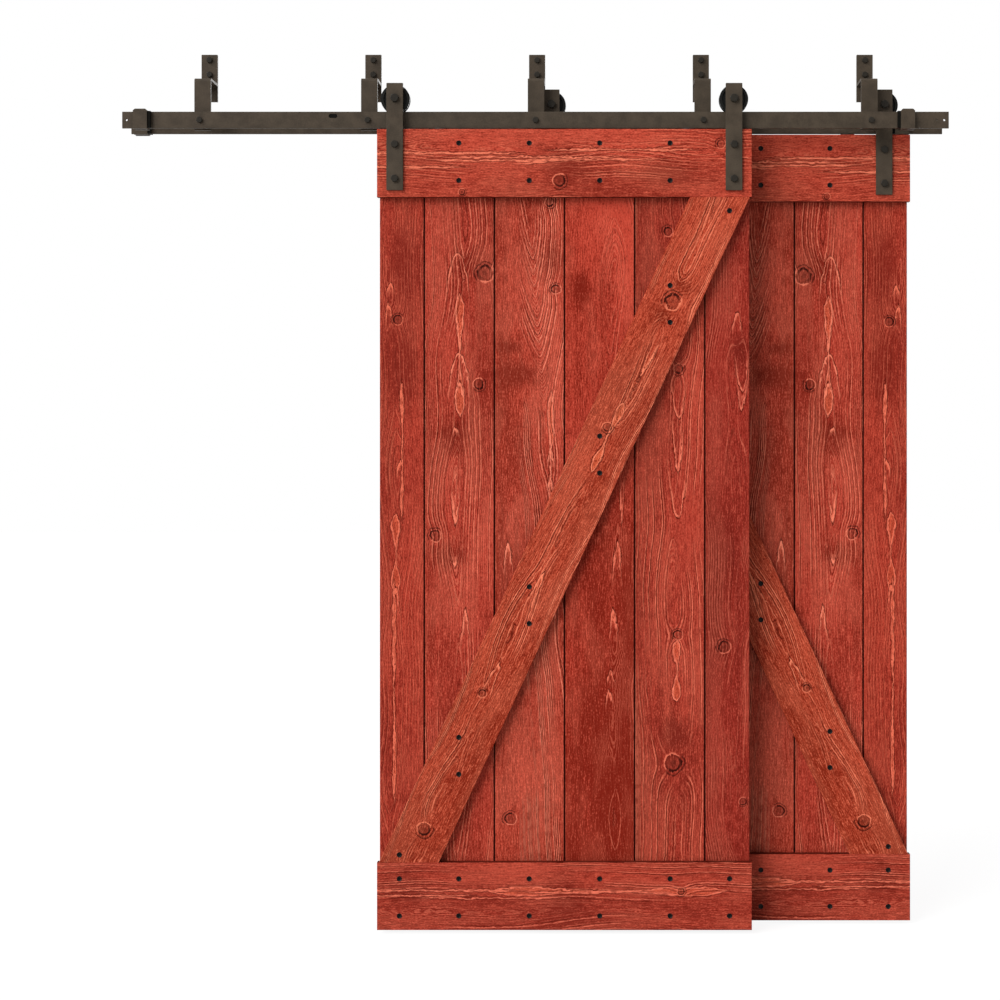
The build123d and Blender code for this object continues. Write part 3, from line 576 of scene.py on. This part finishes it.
def new_piece(name, skins, finish, body, slot, *replaced):
    """One object made of several skins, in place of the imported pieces. Edges sharper than crease stay."""
    points, faces, count = [], [], 0
    for skin, quads, triangles in skins:
        points.append(skin)
        faces += (quads + count).tolist() + (triangles + count).tolist()
        count += len(skin)
    mesh = bpy.data.meshes.new(name)
    mesh.from_pydata(np.concatenate(points).tolist(), [], faces)
    mesh.polygons.foreach_set("use_smooth", np.ones(len(faces), dtype=bool))
    crease = radians(28)
    mesh.set_sharp_from_angle(angle=crease)
    mesh.materials.append(finish)
    piece = bpy.data.objects.new(name, mesh)
    bpy.context.collection.objects.link(piece)
    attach(piece, body)
    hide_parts(*replaced)


def hexagon(flats):
    """The outline's radius at each angle = half the flats / cos(angle from the nearest flat's middle)."""
    return flats / 2 / np.cos((angle + np.pi / 6) % (np.pi / 3) - np.pi / 6)


def bolt(flats, head, radius, length, pitch, depth, threaded, tip):
    """Rings of a bolt whose head sits on 0. The head's top falls at 30 degrees outside its chamfer circle.
    thread radius = radius - depth * (1 - triangle wave of (distance / pitch - angle / turn)), and over the
    tip (length, end radius) it narrows evenly."""
    outline, circle, step = hexagon(flats), 0.475 * flats, pitch / 8
    rings = [(-head, 0.3 * flats), (-head, circle)]
    rings += [(np.maximum(outline - circle, 0) * tan(radians(30)) - head, outline), (0.0, outline)]
    rings += [(0.0, radius), (length - threaded - step, radius)]
    tip_length, tip_radius = tip
    for far in np.arange(length - threaded, length, step):
        wave = np.clip(1.3 - 1.3 * abs(2 * ((far / pitch - angle / (2 * np.pi)) % 1) - 1), 0, 1)
        narrow = np.interp(far, [length - tip_length, length], [1, tip_radius / radius])
        rings.append((far, (radius - depth * (1 - wave)) * narrow))
    return rings + [(length, tip_radius * 0.9)]


fixing_bronze = bronze_coat("fixing_bronze", (0.019, 0.016, 0.012), 0.34)
for name in ("front_track_nuts", "stop_set_screws"):
    dress(name, fixing_bronze)

lag_screw = dict(flats=0.013, head=0.0053, radius=0.004, pitch=0.0034, depth=0.0010, threaded=0.048,
                 tip=(0.009, 0.0004))
plate_screw_length, track_screw_length = 0.060, 0.080
plate_screw_heights = (0.1312, 0.1672)
plate_seat, track_seat = -0.006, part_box("back_track")[0].y
brackets = [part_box(f"bracket_{n}") for n in range(1, 6)]
columns = [(low.x + high.x) / 2 for low, high in brackets]
plate_places = [(x, plate_seat, z) for x in columns for z in plate_screw_heights]
track_places = [(x, track_seat, 0.0) for x in columns]
new_piece("threaded_lag_screws", [
    spun(bolt(length=plate_screw_length, **lag_screw), plate_places, random_turns(len(plate_places))),
    spun(bolt(length=track_screw_length, **lag_screw), track_places, random_turns(len(track_places))),
], fixing_bronze, "wall_frame", "bronze_fixings", "wall_lag_screws")

track_bolt = dict(flats=0.013, head=0.0053, radius=0.004, pitch=0.00125, depth=0.0006, threaded=0.012,
                  tip=(0.0008, 0.0033))
seat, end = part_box("front_track")[0].y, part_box("front_track_bolts")[1].y
places = [(x, seat, 0.0) for x in columns]
new_piece("threaded_track_bolts", [
    spun(bolt(length=end - seat, **track_bolt), places, random_turns(len(places))),
], fixing_bronze, "wall_frame", "bronze_fixings", "front_track_bolts")

# Strap and axle bolts: two of the first and one of the second in each strap. Barrel nuts take the strap
# bolts from the door's back: a flat round head with a hexagon socket on a tube that reaches into the rail.
axle_bolt = dict(flats=0.018, head=0.0075, radius=0.006, pitch=0.00175, depth=0.0009, threaded=0.010,
                 tip=(0.001, 0.0050))
strap_bolt = dict(flats=0.016, head=0.0064, radius=0.005, pitch=0.0015, depth=0.0008, threaded=0.015,
                  tip=(0.001, 0.0042))
strap_bolt_drops = (0.0375, 0.1203)
nut_bore, nut_radius, nut_start, bolt_end = 0.00515, 0.007, 0.002, 0.001
nut_head_radius, nut_head_height, nut_chamfer = 0.0100, 0.003, 0.0008
socket_flats, socket_floor = 0.006, 0.0006
for door in hands:
    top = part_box(f"{door}_top_rail")[1].z
    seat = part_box(f"{door}_left_strap")[0].y
    boxes = [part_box(f"{door}_{side}_wheel") for side in ("left", "right")]
    axles = [((low.x + high.x) / 2, seat, (low.z + high.z) / 2) for low, high in boxes]
    clamps = [(x, seat, top - drop) for x, y, z in axles for drop in strap_bolt_drops]
    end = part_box(f"{door}_axle_bolts")[1].y
    new_piece(f"{door}_threaded_axle_bolts", [
        spun(bolt(length=end - seat, **axle_bolt), axles, random_turns(len(axles))),
    ], fixing_bronze, door, "bronze_fixings", f"{door}_axle_bolts")
    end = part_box(f"{door}_strap_bolts")[1].y
    new_piece(f"{door}_threaded_strap_bolts", [
        spun(bolt(length=end - seat, **strap_bolt), clamps, random_turns(len(clamps))),
    ], fixing_bronze, door, "bronze_fixings", f"{door}_strap_bolts")
    dress(f"{door}_axle_nuts", fixing_bronze)

    front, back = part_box(f"{door}_top_rail")[0].y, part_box(f"{door}_board_1")[1].y
    head_top, socket = back + nut_head_height, hexagon(socket_flats)
    nut = [(back - bolt_end, nut_bore), (front + nut_start, nut_bore), (front + nut_start, nut_radius)]
    nut += [(back, nut_radius), (back, nut_head_radius), (head_top - nut_chamfer, nut_head_radius)]
    nut += [(head_top, nut_head_radius - nut_chamfer), (head_top, socket), (back + socket_floor, socket)]
    new_piece(f"{door}_socket_barrel_nuts", [
        spun(nut, [(x, 0.0, z) for x, y, z in clamps], random_turns(len(clamps))),
    ], fixing_bronze, door, "bronze_fixings", f"{door}_barrel_nuts")

# Wood screws: black, with a cross recess, their heads sunk in a black cup washer that stands just proud of
# the wood. Two on each door's top edge hold the anti-jump discs, which are black nylon.
black_screw = speckled("black_screw", 0.12, [(0.002, 0.001, 0.001), (0.005, 0.004, 0.003)], 500.0,
                       (0.35, 0.2), 300.0, 0.00005, 1500.0)
black_nylon = speckled("black_nylon", 0.2, [(0.008, 0.008, 0.007), (0.016, 0.016, 0.014)], 120.0,
                       (0.4, 0.2), 300.0, 0.00006, 900.0)

rim_radius, seat_radius, head_radius, head_sunk = 0.0064, 0.0047, 0.0034, 0.0012
cross_half, cross_slope, cross_reach, cross_run_out, cross_depth = 0.0008, 0.0003, 0.0024, 0.0005, 0.0015
neck, shank, screw_length, point_length, point_radius = 0.0026, 0.002, 0.032, 0.004, 0.0002
rings = []
for radius in np.linspace(0.0003, head_radius, 14):
    nearest = radius * np.minimum(abs(np.sin(angle)), abs(np.cos(angle)))
    cross = np.clip((cross_half - nearest) / cross_slope, 0, 1)
    cross = cross * np.clip((cross_reach - radius) / cross_run_out, 0, 1)
    rings.append((cross_depth * cross + head_sunk, radius))
rings += [(0.0, seat_radius), (-0.0005, rim_radius - 0.0006), (-0.0004, rim_radius - 0.0002)]
rings += [(0.0002, rim_radius), (0.0003, seat_radius), (head_sunk + neck, shank)]
rings += [(screw_length - point_length, shank), (screw_length, point_radius)]
column, outer_column = 0.1699, 0.3982
top_rows, bottom_rows, ends = (0.034, 0.1243), (0.0345, 0.124), (-0.5, 0.5)
brace_spread, brace_end_drop, brace_end_rise = 0.089, 0.033, 0.019
disc_spread = 0.6
inner = [column * (n - 1.5) for n in range(4)]
for door, hand in hands.items():
    low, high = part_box(f"{door}_top_rail")
    foot, sill = (corner.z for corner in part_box(f"{door}_bottom_rail"))
    middle = (low.x + high.x) / 2
    brace_low, brace_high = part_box(f"{door}_brace")
    lean = brace_lean(brace_high.x - brace_low.x, brace_high.z - brace_low.z)
    centre = (brace_low.z + brace_high.z) / 2
    spots = [(side, high.z - drop) for side in inner for drop in top_rows]
    spots += [(side, foot + rise) for side in (-outer_column, *inner, outer_column) for rise in bottom_rows]
    spots += [(side, centre + side / tan(lean) + half * brace_spread) for side in inner for half in ends]
    spots += [(outer_column, low.z - brace_end_drop), (-outer_column, sill + brace_end_rise)]
    faces = [(middle + hand * side, low.y, z) for side, z in spots]
    disc_low, disc_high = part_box(f"{door}_anti_jump_discs")
    disc_y = (disc_low.y + disc_high.y) / 2
    tops = [(middle + half * disc_spread, disc_y, disc_high.z) for half in ends]
    level, quads, triangles = spun(rings, [(0.0, 0.0, 0.0)] * len(tops), random_turns(len(tops)))
    upright = np.stack([level[:, 0], level[:, 2], -level[:, 1]], axis=1)
    upright = upright + np.repeat(tops, len(level) // len(tops), axis=0)
    new_piece(f"{door}_cross_screws", [
        spun(rings, faces, random_turns(len(faces))),
        (upright, quads, triangles),
    ], black_screw, door, "black_screws", f"{door}_screws")
    dress(f"{door}_anti_jump_discs", black_nylon)

# Wheels: black nylon, turned on a lathe, with a groove that fits over the track's edge. The tool's marks
# run round the axle = sine of (radius * marks a metre).
marks, marks_height = 9000, 0.00006
for door in hands:
    for side in ("left", "right"):
        finish, shader, place = new_finish(f"{door}_{side}_wheel_nylon", Specular_IOR_Level=0.1)
        low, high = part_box(f"{door}_{side}_wheel")
        u, v = place.dot((1, 0, 0)) - (low.x + high.x) / 2, place.dot((0, 0, 1)) - (low.z + high.z) / 2
        turning = ((u * u + v * v).maths("SQRT") * marks).maths("SINE")
        join(shader, "Base Color", place.noise(60.0).mix((0.003, 0.003, 0.003, 1), (0.008, 0.008, 0.007, 1)))
        join(shader, "Roughness", place.noise(120.0) * 0.15 + 0.36)
        relief(shader, turning * 0.3 + place.noise(700.0) * 0.5, marks_height)
        dress(f"{door}_{side}_wheel", finish)

# Bearings and sleeves: ground steel rings with pressed shields, on zinc-plated tubes.
bright_steel, shader, place = new_finish("bright_steel", Metallic=1.0)
join(shader, "Base Color", place.noise(60.0).mix((0.42, 0.43, 0.44, 1), (0.60, 0.61, 0.62, 1)))
join(shader, "Roughness", place.noise(400.0) * 0.2 + 0.2)
relief(shader, place.noise(1200.0), 0.00003)
for door in hands:
    for part in ("axle_sleeves", "left_wheel_bearings", "right_wheel_bearings"):
        dress(f"{door}_{part}", bright_steel)


# Floor and light: a plain white floor just below the doors, one broad lamp from the upper left, a weaker
# one behind for the doors' backs and an even white sky. What the camera sees of the floor is mostly white,
# with the doors' faint shadow.
def seen_straight(tree):
    """1 for a ray from the camera, off a shiny surface or through glass, and 0 for light on the doors."""
    path = tree.nodes.new("ShaderNodeLightPath")
    camera, glossy, clear = [
        Shade(tree, path.outputs[f"Is {kind} Ray"]) for kind in ("Camera", "Glossy", "Transmission")
    ]
    return camera.maths("MAXIMUM", glossy).maths("MAXIMUM", clear)


def new_lamp(name, energy, breadth, rise, turn):
    """A lamp as far off as the sun: its breadth in the sky, its rise over the horizon and its turn about Z
    are in degrees."""
    data = bpy.data.lights.new(name, "SUN")
    data.energy = energy
    data.angle = radians(breadth)
    lamp = bpy.data.objects.new(name, data)
    bpy.context.collection.objects.link(lamp)
    lamp.rotation_euler = (radians(90 - rise), 0, radians(turn))


floor_drop, floor_size = 0.0105, 30
floor_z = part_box("front_door_bottom_rail")[0].z - floor_drop
bpy.ops.mesh.primitive_plane_add(size=floor_size, location=(0, 0, floor_z))
floor = bpy.context.object
floor.name = "floor"
paper, shader, place = new_finish("white_paper", Roughness=0.8, Specular_IOR_Level=0.2)
shader.inputs["Base Color"].default_value = (0.8, 0.8, 0.8, 1)
glow = place.node("ShaderNodeEmission", {}, {"Color": (1, 1, 1, 1), "Strength": 1.12})
surface = Shade(paper.node_tree, shader.outputs[0])
glow_share = seen_straight(paper.node_tree) * 0.8
blend = place.node("ShaderNodeMixShader", {}, {0: glow_share, 1: surface, 2: glow})
paper.node_tree.links.new(blend.socket, paper.node_tree.nodes["Material Output"].inputs["Surface"])
floor.data.materials.append(paper)

world = bpy.data.worlds.new("studio")
bpy.context.scene.world = world
world.use_nodes = True
sky = world.node_tree.nodes["Background"]
sky.inputs["Color"].default_value = (1, 1, 1, 1)
sky_light = 0.2
join(sky, "Strength", seen_straight(world.node_tree) * (1 - sky_light) + sky_light)
new_lamp("lamp", 3.85, 50, 32, -50)
new_lamp("back_lamp", 1.5, 40, 14, 160)

# Camera: level, and in front of the right half of the set, as the photograph was taken.
camera_data = bpy.data.cameras.new("camera")
camera_data.sensor_width = 36
camera_data.lens = 60.8
camera_data.shift_x = -0.101
camera_data.shift_y = -0.075
camera = bpy.data.objects.new("camera", camera_data)
bpy.context.collection.objects.link(camera)
camera_x, camera_z, track_distance = 0.1585, -0.7381, 4.086
camera.location = (camera_x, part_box("front_track")[0].y - track_distance, camera_z)
camera.rotation_euler = (radians(90), 0, 0)
bpy.context.scene.camera = camera
bpy.context.scene.view_settings.view_transform = "Standard"
